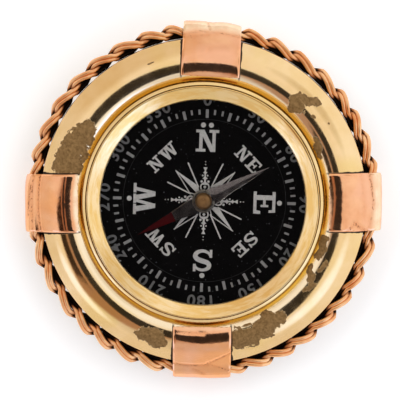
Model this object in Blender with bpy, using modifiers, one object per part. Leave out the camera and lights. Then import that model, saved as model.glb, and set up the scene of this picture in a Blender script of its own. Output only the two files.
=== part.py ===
"""Lifebuoy desk compass: a brass ring dressed as a lifebuoy round a small sealed needle compass.

A hollow brass ring stands on a felt pad. Four copper bands clasp it and hold a twisted copper
wire rope against its rim. A spun brass case drops through the middle of the ring and holds the
dial, the pivot, the swinging needle and the glass. +Z is up and +Y is the dial's north.
"""

from math import asin, cos, degrees, pi, radians, sin, sqrt

import bmesh
import bpy
from mathutils import Vector

MM = 0.001

# Lifebuoy ring: a hollow torus pressed in two halves.
RING_RADIUS = 30.8
TUBE_RADIUS = 5.5
RING_HEIGHT = 7.0
SHEET = 0.8
SEAM_GAP = 0.3
RING_STEPS = 64

# Rope: two pairs of copper wire twisted together, lying against the ring's rim.
ROPE_RADIUS = 37.95
ROPE_TURNS = 20
ROPE_POINTS_PER_TURN = 7
WIRE_RADIUS = 0.47
PAIR_HALF_ANGLE = 34.0
WIRE_OFFSET = 1.02
ROPE_PHASE = 100.0
ROPE_END_GAP = 0.3

# Copper bands, each bent round the ring and the rope.
BAND_WIDTH = 13.2
BAND_SHEET = 0.45
BAND_CLEARANCE = 0.3
ROPE_CLEARANCE = 0.2
BAND_INNER_END = 27.75
BAND_TURNS = {"north": 1.1, "east": 88.4, "south": 178.7, "west": 267.4}
BAND_STEPS = 80

# Case, dial and glass.
CASE_RADIUS = 24.85
CASE_STEPS = 56
OPENING_RADIUS = 22.9
BEZEL_RADIUS = 26.0
RIM_RADIUS = 26.95
FLANGE_BOTTOM = 11.35
TOP_HEIGHT = 14.0
DIAL_RADIUS = 23.6
GLASS_BOTTOM = 11.1
GLASS_THICKNESS = 1.0

# Needle and pivot.
NEEDLE_HALF_LENGTH = 16.45
NEEDLE_BEARING = 241.0
NEEDLE_BOTTOM = 8.75
NEEDLE_SHEET = 0.3
HUB_RADIUS = 2.35
HUB_HOLE = 1.5
PIN_RADIUS = 0.35
PIN_TIP = 9.65
PIVOT_STEPS = 24


def clear_scene():
    for thing in list(bpy.data.objects):
        bpy.data.objects.remove(thing, do_unlink=True)


def new_collection(name):
    collection = bpy.data.collections.new(name)
    bpy.context.scene.collection.children.link(collection)
    return collection


def material(name, colour, roughness, metallic=0.0):
    made = bpy.data.materials.new(name)
    made.use_nodes = True
    shader = made.node_tree.nodes["Principled BSDF"]
    shader.inputs["Base Color"].default_value = (*colour, 1.0)
    shader.inputs["Roughness"].default_value = roughness
    shader.inputs["Metallic"].default_value = metallic
    return made


def add_object(name, data, collection, look):
    thing = bpy.data.objects.new(name, data)
    collection.objects.link(thing)
    if look is not None:
        data.materials.append(look)
    return thing


def arc(centre, radius, start, end, steps):
    """Points in millimetres along an arc, angles in degrees from the outward direction."""
    turns = [radians(start + (end - start) * k / steps) for k in range(steps + 1)]
    return [(centre[0] + radius * cos(t), centre[1] + radius * sin(t)) for t in turns]


def turned(name, profile, steps, collection, look, closed=True):
    """A turned solid. The profile runs down its outer side, from top to bottom, in millimetres.

    A closed profile makes a ring. An open one starts and ends on the axis.
    """
    mesh = bpy.data.meshes.new(name)
    points = [(r * MM, 0.0, z * MM) for r, z in profile]
    edges = [(k, k + 1) for k in range(len(points) - 1)]
    if closed:
        edges.append((len(points) - 1, 0))
    mesh.from_pydata(points, edges, [])
    thing = add_object(name, mesh, collection, look)
    screw = thing.modifiers.new("turn", "SCREW")
    screw.axis = "Z"
    screw.steps = steps
    screw.render_steps = steps
    screw.use_merge_vertices = True
    screw.merge_threshold = 0.00001
    screw.use_normal_calculate = False
    return thing


def applied(thing, collection, look):
    """Replaces an object by its evaluated mesh, shaded smooth but for its sharp edges."""
    bpy.context.view_layer.update()
    graph = bpy.context.evaluated_depsgraph_get()
    mesh = bpy.data.meshes.new_from_object(thing.evaluated_get(graph))
    name = thing.name
    matrix = thing.matrix_world.copy()
    bpy.data.objects.remove(thing, do_unlink=True)
    shape = bmesh.new()
    shape.from_mesh(mesh)
    bmesh.ops.remove_doubles(shape, verts=shape.verts, dist=1e-6)
    bmesh.ops.recalc_face_normals(shape, faces=shape.faces)
    shape.to_mesh(mesh)
    shape.free()
    mesh.materials.clear()
    made = add_object(name, mesh, collection, look)
    made.matrix_world = matrix
    mesh.shade_smooth()
    mesh.set_sharp_from_angle(angle=radians(35))
    return made


def turned_solid(name, profile, steps, look, closed=True):
    return applied(turned(name, profile, steps, parts, look, closed), parts, look)


def cut(thing, cutter, operation):
    change = thing.modifiers.new(operation.lower(), "BOOLEAN")
    change.operation = operation
    change.solver = "EXACT"
    change.object = cutter


def box(name, low, high):
    mesh = bpy.data.meshes.new(name)
    shape = bmesh.new()
    bmesh.ops.create_cube(shape, size=1.0)
    for vertex in shape.verts:
        for axis in range(3):
            middle = (low[axis] + high[axis]) / 2
            vertex.co[axis] = (middle + vertex.co[axis] * (high[axis] - low[axis])) * MM
    shape.to_mesh(mesh)
    shape.free()
    return as_cutter(add_object(name, mesh, cutters, None))


def as_cutter(thing):
    thing.hide_render = True
    thing.display_type = "WIRE"
    return thing


def ring_shell(name, side, look):
    """One pressed half of the hollow ring: side is 1 for the upper half and -1 for the lower."""
    centre = (RING_RADIUS, RING_HEIGHT)
    lift = degrees(asin(SEAM_GAP / 2 / TUBE_RADIUS))
    inner_lift = degrees(asin(SEAM_GAP / 2 / (TUBE_RADIUS - SHEET)))
    if side > 0:
        outside = arc(centre, TUBE_RADIUS, 180 - lift, lift, 9)
        inside = arc(centre, TUBE_RADIUS - SHEET, inner_lift, 180 - inner_lift, 7)
    else:
        outside = arc(centre, TUBE_RADIUS, -lift, lift - 180, 9)
        inside = arc(centre, TUBE_RADIUS - SHEET, inner_lift - 180, -inner_lift, 7)
    return turned_solid(name, outside + inside, RING_STEPS, look)


def rope_wire(name, offset_angle, look):
    """One wire of the rope, wound round the rope's own circular centre line."""
    count = ROPE_TURNS * ROPE_POINTS_PER_TURN
    half_gap = ROPE_END_GAP / 2 / ROPE_RADIUS
    curve = bpy.data.curves.new(name, "CURVE")
    curve.dimensions = "3D"
    curve.bevel_depth = WIRE_RADIUS * MM
    curve.bevel_resolution = 1
    curve.use_fill_caps = True
    spline = curve.splines.new("POLY")
    spline.points.add(count)
    for k in range(count + 1):
        around = half_gap + (2 * pi - 2 * half_gap) * k / count
        twist = ROPE_TURNS * around + radians(offset_angle + ROPE_PHASE)
        reach = ROPE_RADIUS + WIRE_OFFSET * cos(twist)
        height = RING_HEIGHT + WIRE_OFFSET * sin(twist)
        # The wires' ends meet beneath the north band; the winding runs clockwise from above.
        x = reach * sin(around)
        y = reach * cos(around)
        spline.points[k].co = (x * MM, y * MM, height * MM, 1.0)
    return applied(add_object(name, curve, parts, look), parts, look)


def band_path(extra):
    """The band's section, from its upper inner end over the ring, round the rope and under."""
    ring_centre = (RING_RADIUS, RING_HEIGHT)
    rope_centre = (ROPE_RADIUS, RING_HEIGHT)
    over_ring = TUBE_RADIUS + BAND_CLEARANCE + extra
    over_rope = WIRE_OFFSET + WIRE_RADIUS + ROPE_CLEARANCE + extra
    lean = degrees(asin(sqrt(1 - ((over_ring - over_rope) / (ROPE_RADIUS - RING_RADIUS)) ** 2)))
    end = 180 - degrees(asin((TUBE_RADIUS + BAND_CLEARANCE) * 0.81 / over_ring))
    top = arc(ring_centre, over_ring, end, lean, 6)
    outer = arc(rope_centre, over_rope, lean, -lean, 6)
    under = arc(ring_centre, over_ring, -lean, -end, 6)
    return top + outer + under


def band(name, bearing, look):
    """A copper strip with parallel edges, cut from a turned shell of the band's section."""
    section = band_path(BAND_SHEET) + band_path(0.0)[::-1]
    shell = turned(name, section, BAND_STEPS, parts, look)
    high = RING_HEIGHT + TUBE_RADIUS + 3
    window = box(name + "_window", (-BAND_WIDTH / 2, BAND_INNER_END, -1), (BAND_WIDTH / 2, 45, high))
    cut(shell, window, "INTERSECT")
    strip = applied(shell, parts, look)
    strip.rotation_euler[2] = -radians(bearing)
    return strip


def case_profile():
    """Section of the spun case: stepped cup, shelf for the dial plate, flange and raised lip."""
    return [
        (0.0, 3.1),
        (22.5, 3.1),
        (22.5, 6.1),
        (24.05, 6.1),
        (24.05, 12.1),
        (26.2, 12.1),
        (26.2, 12.6),
        (26.4, 12.8),
        (26.75, 12.8),
        (RIM_RADIUS, 12.6),
        (RIM_RADIUS, FLANGE_BOTTOM),
        (CASE_RADIUS, FLANGE_BOTTOM),
        (CASE_RADIUS, 6.0),
        (23.3, 5.3),
        (23.3, 2.7),
        (22.9, 2.3),
        (0.0, 2.3),
    ]


def bezel_profile():
    """Section of the bezel: bright crest beside the opening and a broad slope to the rim."""
    return [
        (OPENING_RADIUS, 13.75),
        (23.1, TOP_HEIGHT - 0.03),
        (23.4, TOP_HEIGHT),
        (24.3, 13.78),
        (25.2, 13.4),
        (25.85, 12.98),
        (BEZEL_RADIUS, 12.75),
        (BEZEL_RADIUS, 12.35),
        (OPENING_RADIUS, 12.35),
    ]


def base_profile():
    """Section of the base plate: a flat disc whose rim turns up beneath the ring."""
    return [
        (0.0, 2.0),
        (25.2, 2.0),
        (26.2, 2.7),
        (27.0, 2.6),
        (26.6, 1.5),
        (25.8, 1.1),
        (0.0, 1.1),
    ]


def disc_profile(radius, bottom, top, chamfer=0.0):
    if chamfer:
        rim = [(radius - chamfer, top), (radius, top - chamfer), (radius, bottom + chamfer)]
        rim.append((radius - chamfer, bottom))
    else:
        rim = [(radius, top), (radius, bottom)]
    return [(0.0, top)] + rim + [(0.0, bottom)]


def tube_profile(inner, outer, bottom, top):
    return [(inner, top), (outer, top), (outer, bottom), (inner, bottom)]


def needle_outline():
    """Plan of the blade: a round hub between two long leaf-shaped arms with sharp tips."""
    half = [(NEEDLE_HALF_LENGTH, 0.0), (12.0, 0.62), (7.6, 1.05), (5.0, 1.35), (3.2, 1.75)]
    hub = [(HUB_RADIUS * cos(radians(a)), HUB_RADIUS * sin(radians(a))) for a in (48, 70, 90)]
    quarter = half + hub
    upper = quarter + [(-x, y) for x, y in quarter[-2::-1]]
    lower = [(x, -y) for x, y in upper[-2:0:-1]]
    return upper + lower


def needle_blade(look):
    curve = bpy.data.curves.new("needle_blade", "CURVE")
    curve.dimensions = "2D"
    curve.fill_mode = "BOTH"
    curve.extrude = NEEDLE_SHEET / 2 * MM
    outline = needle_outline()
    spline = curve.splines.new("POLY")
    spline.points.add(len(outline) - 1)
    for point, (x, y) in zip(spline.points, outline):
        point.co = (x * MM, y * MM, 0.0, 1.0)
    spline.use_cyclic_u = True
    hole = curve.splines.new("POLY")
    hole.points.add(PIVOT_STEPS - 1)
    for k, point in enumerate(hole.points):
        turn = 2 * pi * k / PIVOT_STEPS
        point.co = (HUB_HOLE * cos(turn) * MM, HUB_HOLE * sin(turn) * MM, 0.0, 1.0)
    hole.use_cyclic_u = True
    blade = applied(add_object("needle_blade", curve, parts, look), parts, look)
    blade.location = Vector((0.0, 0.0, (NEEDLE_BOTTOM + NEEDLE_SHEET / 2) * MM))
    # The blade is drawn along +X, which becomes its red end at the needle's bearing.
    blade.rotation_euler[2] = radians(90 - NEEDLE_BEARING)
    return blade


def needle_cap(look):
    """Domed brass cap riveted through the blade, hollow for the jewel."""
    profile = [(0.0, 10.5), (0.9, 10.42), (1.55, 10.1), (1.9, 9.65), (2.0, 9.25)]
    profile += [(1.3, 9.25), (1.3, 8.6), (0.95, 8.6), (0.95, 10.15), (0.0, 10.15)]
    return turned_solid("needle_cap", profile, PIVOT_STEPS, look, closed=False)


def needle_jewel(look):
    """Bearing jewel with a conical cup that sits on the pivot's point."""
    profile = [(0.0, 9.95), (0.8, 9.95), (0.8, 8.7), (0.62, 8.7), (0.12, 9.85), (0.0, 9.85)]
    return turned_solid("needle_jewel", profile, PIVOT_STEPS, look, closed=False)


def pivot_pin(look):
    """Steel pin pressed through the dial plate, ground to a point."""
    profile = [(0.0, PIN_TIP), (0.05, PIN_TIP - 0.03), (PIN_RADIUS, 8.9)]
    profile += [(PIN_RADIUS, 5.9), (0.8, 5.9), (0.8, 5.4), (0.0, 5.4)]
    return turned_solid("pivot_pin", profile, PIVOT_STEPS, look, closed=False)


clear_scene()
parts = new_collection("lifebuoy_compass")
cutters = new_collection("cutters")
cutters.hide_render = True

brass = material("polished_brass", (0.80, 0.60, 0.30), 0.16, 1.0)
case_brass = material("case_brass", (0.78, 0.57, 0.27), 0.22, 1.0)
cap_brass = material("cap_brass", (0.80, 0.60, 0.30), 0.2, 1.0)
copper = material("band_copper", (0.86, 0.52, 0.38), 0.2, 1.0)
wire_copper = material("rope_copper", (0.72, 0.38, 0.26), 0.3, 1.0)
clear_glass = material("clear_glass", (0.95, 0.97, 0.97), 0.02)
dial_black = material("dial_black", (0.012, 0.012, 0.012), 0.6)
plate_metal = material("plate_aluminium", (0.6, 0.6, 0.6), 0.4, 1.0)
spacer_black = material("spacer_black", (0.02, 0.02, 0.02), 0.5)
gasket_rubber = material("gasket_rubber", (0.02, 0.02, 0.02), 0.8)
blade_steel = material("blade_steel", (0.75, 0.74, 0.72), 0.25, 1.0)
pin_steel = material("pin_steel", (0.6, 0.6, 0.6), 0.25, 1.0)
jewel_glass = material("jewel_glass", (0.5, 0.05, 0.08), 0.1)
felt = material("green_felt", (0.02, 0.09, 0.04), 0.95)

ring_shell("ring_upper_shell", 1, brass)
ring_shell("ring_lower_shell", -1, brass)

for strand, turn in (("a", 0.0), ("b", 180.0)):
    for number, lean in ((1, -PAIR_HALF_ANGLE), (2, PAIR_HALF_ANGLE)):
        rope_wire(f"rope_wire_{strand}{number}", turn + lean, wire_copper)

for side, bearing in BAND_TURNS.items():
    band(f"band_{side}", bearing, copper)

turned_solid("case_cup", case_profile(), CASE_STEPS, case_brass, closed=False)
turned_solid("bezel_ring", bezel_profile(), CASE_STEPS, brass)
turned_solid("base_plate", base_profile(), CASE_STEPS, case_brass, closed=False)
turned_solid("base_felt", disc_profile(25.4, 0.0, 0.9), CASE_STEPS, felt, closed=False)

glass_top = GLASS_BOTTOM + GLASS_THICKNESS
turned_solid("glass", disc_profile(23.75, GLASS_BOTTOM, glass_top, 0.15), CASE_STEPS, clear_glass, False)
turned_solid("glass_gasket", tube_profile(22.95, 23.85, 10.5, 10.9), CASE_STEPS, gasket_rubber)
turned_solid("dial_spacer_ring", tube_profile(23.3, 23.85, 7.75, 10.3), CASE_STEPS, spacer_black)

# The dial plate and its card are pierced in the middle for the pivot.
turned_solid("dial_card", tube_profile(0.6, DIAL_RADIUS, 7.3, 7.5), CASE_STEPS, dial_black)
turned_solid("dial_plate", tube_profile(0.6, 23.75, 6.35, 7.1), CASE_STEPS, plate_metal)
turned_solid("pivot_boss", tube_profile(0.6, 1.7, 7.7, 8.2), PIVOT_STEPS, cap_brass)
pivot_pin(pin_steel)

needle = bpy.data.objects.new("needle_pivot", None)
parts.objects.link(needle)
for piece in (needle_blade(blade_steel), needle_cap(cap_brass), needle_jewel(jewel_glass)):
    piece.parent = needle
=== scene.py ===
"""Looks for the lifebuoy desk compass: brass ring, copper bands, wire rope, bezel, dial and needle.

Lengths are in millimetres until a mesh is made. Bearings run clockwise from the dial's north, +Y.
"""

from math import cos, pi, radians, sin, sqrt

import bmesh
import bpy
import numpy as np
from mathutils import Matrix, Vector


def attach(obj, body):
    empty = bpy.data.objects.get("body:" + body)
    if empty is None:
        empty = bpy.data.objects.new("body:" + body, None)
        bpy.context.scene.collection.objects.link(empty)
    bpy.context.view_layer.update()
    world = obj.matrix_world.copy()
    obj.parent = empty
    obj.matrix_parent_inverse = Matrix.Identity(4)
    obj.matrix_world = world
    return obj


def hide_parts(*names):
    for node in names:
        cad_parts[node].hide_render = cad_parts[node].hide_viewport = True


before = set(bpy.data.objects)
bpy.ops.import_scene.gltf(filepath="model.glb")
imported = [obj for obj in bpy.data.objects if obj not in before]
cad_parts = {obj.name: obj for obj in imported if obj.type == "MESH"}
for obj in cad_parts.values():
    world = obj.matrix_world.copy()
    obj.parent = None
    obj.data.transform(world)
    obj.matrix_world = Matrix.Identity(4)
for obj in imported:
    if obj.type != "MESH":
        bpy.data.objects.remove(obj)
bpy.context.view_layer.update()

MM = 0.001

CREST_RADIUS = 30.18
RING_HEIGHT = 7.0
RING_RISE = 5.65
RING_REACH_OUT = 6.19
RING_REACH_IN = 5.11
RING_SHEET = 0.8
FLANK_START = 4.3
FLANK_SLOPE = 0.86
ROPE_RADIUS = 38.1
ROPE_TURNS = 20
ROPE_PHASE = 100.0
WIRE_RADIUS = 0.47
STRAND_OFFSET = 0.78
STRAND_RISE = 0.64
PAIR_OFFSET = 0.455
BAND_WIDTH = 12.9
BAND_SHEET = 0.5
BAND_LIFT = 6.35
BAND_TURNS = {"north": 1.1, "east": 88.4, "south": 178.7, "west": 267.4}
BAND_INNER_END = 27.75
BAND_ROLL = 0.17
CUP_EAST = -0.12
CUP_NORTH = -0.14
CARD_TOP = 7.5
PRINT_TOP = 7.53
LETTER_RADIUS = 13.4
LETTER_GAP = 0.14
CIRCLE_RADIUS = 18.15
NUMERAL_SIZE = 3.4
NUMERAL_FOOT = 21.3
NUMERAL_BEND = 0.05
PRINT_SHIFT = 0.2
NEEDLE_BEARING = 241.0
NEEDLE_HALF_LENGTH = 16.45
RED_FROM = 7.5
BLADE_HEIGHT = 8.97
BLADE_ROOF = 0.2
BLADE_UNDERSIDE = 8.78


# -------------------- materials

class Nodes:
    """Short ways to add and join shader nodes in one material or world."""

    def __init__(self, tree):
        self.tree = tree
        self.shader = tree.nodes.get("Principled BSDF")

    def give(self, socket, value):
        """Joins a socket to another one, or sets its own constant."""
        if isinstance(value, bpy.types.NodeSocket):
            self.tree.links.new(value, socket)
        else:
            socket.default_value = value

    def fill(self, node, inputs):
        """Gives each named socket its value. A name's spaces may be written as underscores."""
        for key, value in inputs.items():
            self.give(node.inputs[key.replace("_", " ")], value)
        return node

    def add(self, kind, **inputs):
        return self.fill(self.tree.nodes.new(kind), inputs)

    def look(self, **inputs):
        """Sets or joins sockets of the surface shader."""
        self.fill(self.shader, inputs)

    def place(self):
        return self.add("ShaderNodeTexCoord").outputs["Object"]

    def noise(self, scale, detail=4.0, roughness=0.55, distortion=0.0, at=None):
        return self.add("ShaderNodeTexNoise", Vector=self.place() if at is None else at, Scale=scale,
                        Detail=detail, Roughness=roughness, Distortion=distortion).outputs["Fac"]

    def stretched(self, scale):
        return self.add("ShaderNodeMapping", Vector=self.place(), Scale=scale).outputs["Vector"]

    def attribute(self, name):
        node = self.add("ShaderNodeAttribute")
        node.attribute_name = name
        return node.outputs["Fac"]

    def maths(self, operation, first, second=0.0):
        node = self.add("ShaderNodeMath")
        node.operation = operation
        self.give(node.inputs[0], first)
        self.give(node.inputs[1], second)
        return node.outputs["Value"]

    def times(self, first, second):
        return self.maths("MULTIPLY", first, second)

    def plus(self, first, second):
        return self.maths("ADD", first, second)

    def spread(self, value, low, high, to_low=0.0, to_high=1.0):
        return self.add("ShaderNodeMapRange", Value=value, From_Min=low, From_Max=high,
                        To_Min=to_low, To_Max=to_high).outputs["Result"]

    def mix(self, share, first, second):
        """A colour between two others. The node's sockets 0, 6 and 7 are its factor and its colours."""
        node = self.add("ShaderNodeMix")
        node.data_type = "RGBA"
        for number, value in ((0, share), (6, first), (7, second)):
            self.give(node.inputs[number], (*value, 1.0) if isinstance(value, tuple) else value)
        return node.outputs[2]

    def bump(self, height, distance, strength=1.0, normal=None):
        node = self.add("ShaderNodeBump", Height=height, Strength=strength, Distance=distance)
        if normal is not None:
            self.give(node.inputs["Normal"], normal)
        return node.outputs["Normal"]

    def whereabouts(self):
        """The place's x, y and height, and its reach from the upright axis."""
        way = self.add("ShaderNodeSeparateXYZ", Vector=self.place())
        x, y = way.outputs["X"], way.outputs["Y"]
        square = self.plus(self.times(x, x), self.times(y, y))
        return x, y, way.outputs["Z"], self.maths("SQRT", square)


def new_material(name):
    made = bpy.data.materials.new(name)
    made.use_nodes = True
    return made, Nodes(made.node_tree)


def beside_bands(n):
    """1 on the thin line of painted shadow along each side of every band, wider towards the rope."""
    x, y, _, reach = n.whereabouts()
    width = n.spread(reach, 28.0 * MM, 36.0 * MM, 0.12 * MM, 0.42 * MM)
    width = n.times(width, n.spread(n.noise(500.0, 3.0), 0.3, 0.7, 0.5, 1.4))
    band_shadow = None
    for bearing in BAND_TURNS.values():
        turn = radians(bearing)
        across = n.maths("SUBTRACT", n.times(x, cos(turn)), n.times(y, sin(turn)))
        ahead = n.plus(n.times(x, sin(turn)), n.times(y, cos(turn)))
        beyond = n.maths("SUBTRACT", n.maths("ABSOLUTE", across), BAND_WIDTH / 2 * MM)
        line = n.spread(n.maths("SUBTRACT", beyond, width), 0.0, 0.12 * MM, 1.0, 0.0)
        line = n.times(line, n.spread(beyond, -0.30 * MM, -0.15 * MM))
        line = n.times(line, n.spread(ahead, 27.0 * MM, 27.8 * MM))
        band_shadow = line if band_shadow is None else n.maths("MAXIMUM", band_shadow, line)
    return band_shadow


def brass_material(name, light, deep, roughness, stained=False, streaked=False, groove_reflection=None):
    """Polished brass: uneven lacquer tint and fine scratches.

    Where asked it has brown tarnish with a painted pale highlight and painted shadow lines, streaks along
    the turning, or a painted deeper gold reflection down in a groove.
    """
    made, n = new_material(name)
    n.look(Metallic=1.0)
    tint = n.spread(n.noise(140.0, 5.0), 0.35, 0.7)
    colour = n.mix(tint, light, deep)
    lacquer = n.spread(n.noise(65.0, 3.0, 0.6), 0.52, 0.68)
    colour = n.mix(n.times(lacquer, 0.6), colour, (0.88, 0.62, 0.24))
    x, y, height, reach = n.whereabouts()
    if streaked:
        spot = n.add("ShaderNodeCombineXYZ", X=n.maths("DIVIDE", x, reach), Y=n.maths("DIVIDE", y, reach),
                     Z=n.times(reach, 240.0))
        streak = n.noise(4.5, 5.0, 0.6, 0.3, at=spot.outputs["Vector"])
        colour = n.mix(n.spread(streak, 0.42, 0.60, 0.0, 0.9), colour, (0.86, 0.54, 0.18))
    # Painted reflection: below the rim, down in the groove and inside the cup, the brass turns a deeper
    # gold.
    if groove_reflection:
        colour = n.mix(n.spread(height, 12.3 * MM, 12.6 * MM), groove_reflection, colour)
    haze = n.noise(420.0, 6.0, 0.6)
    rough = n.spread(haze, 0.3, 0.75, roughness * 0.7, roughness * 1.6)
    scratches = n.noise(900.0, 3.0, 0.6, at=n.stretched((1.0, 1.0, 6.0)))
    normal = n.bump(scratches, 0.00002, 0.35)
    if stained:
        n.look(Specular_IOR_Level=0.12)
        # A painted pale highlight on the flank that faces the bezel.
        colour = n.mix(n.spread(reach, 29.9 * MM, 29.0 * MM, 0.0, 0.75), colour, (1.0, 0.85, 0.62))
        field = n.attribute("stain")
        lobes = n.plus(n.times(n.noise(900.0, 6.0, 0.64, 0.4), 1.3), field)
        patch = n.spread(lobes, 1.12, 1.17)
        mottle = n.spread(n.noise(1700.0, 5.0, 0.7), 0.35, 0.65)
        brown = n.mix(mottle, (0.145, 0.079, 0.026), (0.30, 0.175, 0.067))
        # Each patch dries to a darker rim.
        rim = n.times(patch, n.spread(lobes, 1.17, 1.27, 0.45, 0.0))
        brown = n.mix(rim, brown, (0.080, 0.042, 0.014))
        colour = n.mix(patch, colour, brown)
        # Painted shadow: a thin dark line on the ring along each side of every band, where it meets the
        # ring.
        band_shadow = beside_bands(n)
        colour = n.mix(band_shadow, colour, (0.030, 0.017, 0.010))
        n.look(Metallic=n.spread(n.maths("MAXIMUM", patch, band_shadow), 0.0, 1.0, 1.0, 0.0))
        rough = n.maths("MAXIMUM", rough, n.spread(patch, 0.0, 1.0, 0.0, 0.62))
        normal = n.bump(n.times(patch, n.noise(2600.0, 4.0)), 0.00006, 0.7, normal)
    n.look(Base_Color=colour, Roughness=rough, Normal=normal)
    return made


def band_material(name):
    """Soft copper sheet: salmon with rosy clouds, painted pale highlights at the ends, painted darker shade
    along the folds, dark specks in the creases and drawn scratches.
    """
    made, n = new_material(name)
    n.look(Metallic=1.0)
    cloud = n.spread(n.noise(260.0, 5.0), 0.35, 0.68)
    colour = n.mix(cloud, (0.94, 0.50, 0.27), (0.86, 0.40, 0.20))
    # Clouds of rosier and of more orange tone.
    blotch = n.spread(n.noise(90.0, 3.0, 0.5, 0.6), 0.45, 0.62)
    colour = n.mix(n.times(blotch, 0.6), colour, (0.93, 0.49, 0.31))
    warm = n.spread(n.noise(75.0, 4.0, 0.6, 0.8), 0.50, 0.66)
    colour = n.mix(n.times(warm, 0.55), colour, (0.93, 0.40, 0.13))
    # Painted highlight: the band's ends turn pale cream, as strongly as set for each band.
    worn = n.times(n.attribute("worn"), n.spread(n.noise(350.0, 4.0), 0.3, 0.6, 0.45, 1.0))
    colour = n.mix(worn, colour, (1.0, 0.81, 0.57))
    crease = n.attribute("crease")
    grain = n.plus(n.noise(2400.0, 5.0, 0.75), n.times(crease, 0.24))
    grime = n.spread(grain, 0.71, 0.77)
    colour = n.mix(grime, colour, (0.16, 0.06, 0.035))
    # Painted shade: the folds, and the lines along the cut ends, are tinted a darker orange.
    colour = n.mix(n.times(crease, 0.5), colour, (0.74, 0.28, 0.11))
    rough = n.spread(n.noise(600.0, 5.0), 0.3, 0.72, 0.06, 0.17)
    rough = n.maths("MAXIMUM", rough, n.times(grime, 0.55))
    normal = n.bump(n.noise(90.0, 1.0), 0.00005, 0.5)
    normal = n.bump(n.noise(1400.0, 4.0, at=n.stretched((1.0, 1.0, 4.0))), 0.00002, 0.4, normal)
    n.look(Base_Color=colour, Roughness=rough, Normal=normal)
    return made


def wire_material(name):
    """Copper wire: bright where rubbing has worn the tops that stand out, black with oxide in the crevices,
    and with painted shade darkening the underside and inner side.
    """
    made, n = new_material(name)
    n.look(Metallic=1.0)
    rubbed_and_shaded = n.attribute("rubbed_and_shaded")
    uneven = n.plus(rubbed_and_shaded, n.spread(n.noise(700.0, 5.0, 0.65), 0.3, 0.7, -0.16, 0.16))
    bright = n.mix(n.spread(n.noise(300.0, 4.0), 0.35, 0.7), (1.0, 0.61, 0.32), (0.82, 0.34, 0.125))
    # Real oxide in the crevices together with painted shade on the underside and inner side: the less a
    # point stands out, the darker.
    colour = n.mix(n.spread(uneven, 0.50, 0.80), (0.40, 0.14, 0.05), bright)
    colour = n.mix(n.spread(uneven, 0.34, 0.50), (0.014, 0.008, 0.005), colour)
    n.look(Base_Color=colour)
    n.look(Roughness=n.spread(uneven, 0.35, 0.75, 0.6, 0.36))
    n.look(Normal=n.bump(n.noise(1600.0, 4.0), 0.00004, 0.5))
    return made


def print_material(name, shade):
    """Screen-printed grey ink with slight wear."""
    made, n = new_material(name)
    wear = n.spread(n.noise(2600.0, 4.0), 0.3, 0.7)
    worn = tuple(0.78 * c for c in shade)
    n.look(Base_Color=n.mix(wear, shade, worn))
    n.look(Roughness=0.75, Specular_IOR_Level=0.05, Normal=n.bump(n.noise(3000.0, 3.0), 0.00001, 0.4))
    return made


def card_material(name):
    """Matt black dial card with a few pale specks of dust."""
    made, n = new_material(name)
    specks = n.add("ShaderNodeTexVoronoi", Vector=n.place(), Scale=900.0)
    near = n.spread(specks.outputs["Distance"], 0.10, 0.17, 1.0, 0.0)
    chosen = n.spread(n.noise(900.0, 2.0), 0.44, 0.70)
    dust = n.times(near, chosen)
    black = n.mix(n.noise(1300.0, 5.0), (0.0004, 0.0004, 0.0004), (0.0018, 0.0016, 0.0017))
    n.look(Base_Color=n.mix(dust, black, (0.11, 0.11, 0.12)))
    n.look(Roughness=0.9, Specular_IOR_Level=0.0, Normal=n.bump(n.noise(4000.0, 3.0), 0.00002, 0.5))
    return made


def plain_material(name, first, second, scale, roughness, metallic=0.0, depth=0.00002):
    """Two close tints clouded together, with a fine grain."""
    made, n = new_material(name)
    n.look(Metallic=metallic)
    n.look(Base_Color=n.mix(n.noise(scale, 5.0), first, second))
    n.look(Roughness=n.spread(n.noise(scale * 2.3), 0.3, 0.7, roughness * 0.8, roughness * 1.25))
    n.look(Normal=n.bump(n.noise(scale * 4.0, 4.0), depth, 0.5))
    return made


def needle_material(name):
    """Plated steel blade; the arm on the local -X side is painted red."""
    made, n = new_material(name)
    red = n.attribute("red")
    smudge = n.spread(n.noise(420.0, 4.0), 0.45, 0.62)
    steel = n.mix(smudge, (0.135, 0.115, 0.112), (0.16, 0.142, 0.136))
    # Painted highlight along one long edge of the free arm.
    steel = n.mix(n.spread(n.attribute("edge"), 0.3, 0.7), steel, (0.62, 0.60, 0.58))
    paint = n.mix(n.noise(300.0, 3.0), (0.066, 0.001, 0.002), (0.048, 0.001, 0.002))
    n.look(Specular_IOR_Level=0.1)
    n.look(Base_Color=n.mix(n.spread(red, 0.45, 0.55), steel, paint))
    n.look(Metallic=n.spread(red, 0.45, 0.55, 1.0, 0.0))
    n.look(Roughness=n.spread(smudge, 0.0, 1.0, 0.16, 0.26))
    n.look(Normal=n.bump(n.noise(300.0, 2.0), 0.00001, 0.3))
    return made


def glass_material(name):
    made, n = new_material(name)
    n.look(Transmission_Weight=1.0, IOR=1.45)
    n.look(Base_Color=n.mix(n.noise(60.0), (1.0, 1.0, 1.0), (0.985, 0.99, 0.99)))
    n.look(Roughness=n.spread(n.noise(500.0, 4.0), 0.45, 0.8, 0.0, 0.02))
    return made


def felt_material(name):
    made, n = new_material(name)
    fibre = n.noise(2600.0, 6.0, 0.7)
    n.look(Base_Color=n.mix(fibre, (0.008, 0.05, 0.02), (0.03, 0.12, 0.055)))
    n.look(Roughness=0.95, Sheen_Weight=0.4, Normal=n.bump(fibre, 0.0002, 0.8))
    return made


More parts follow.
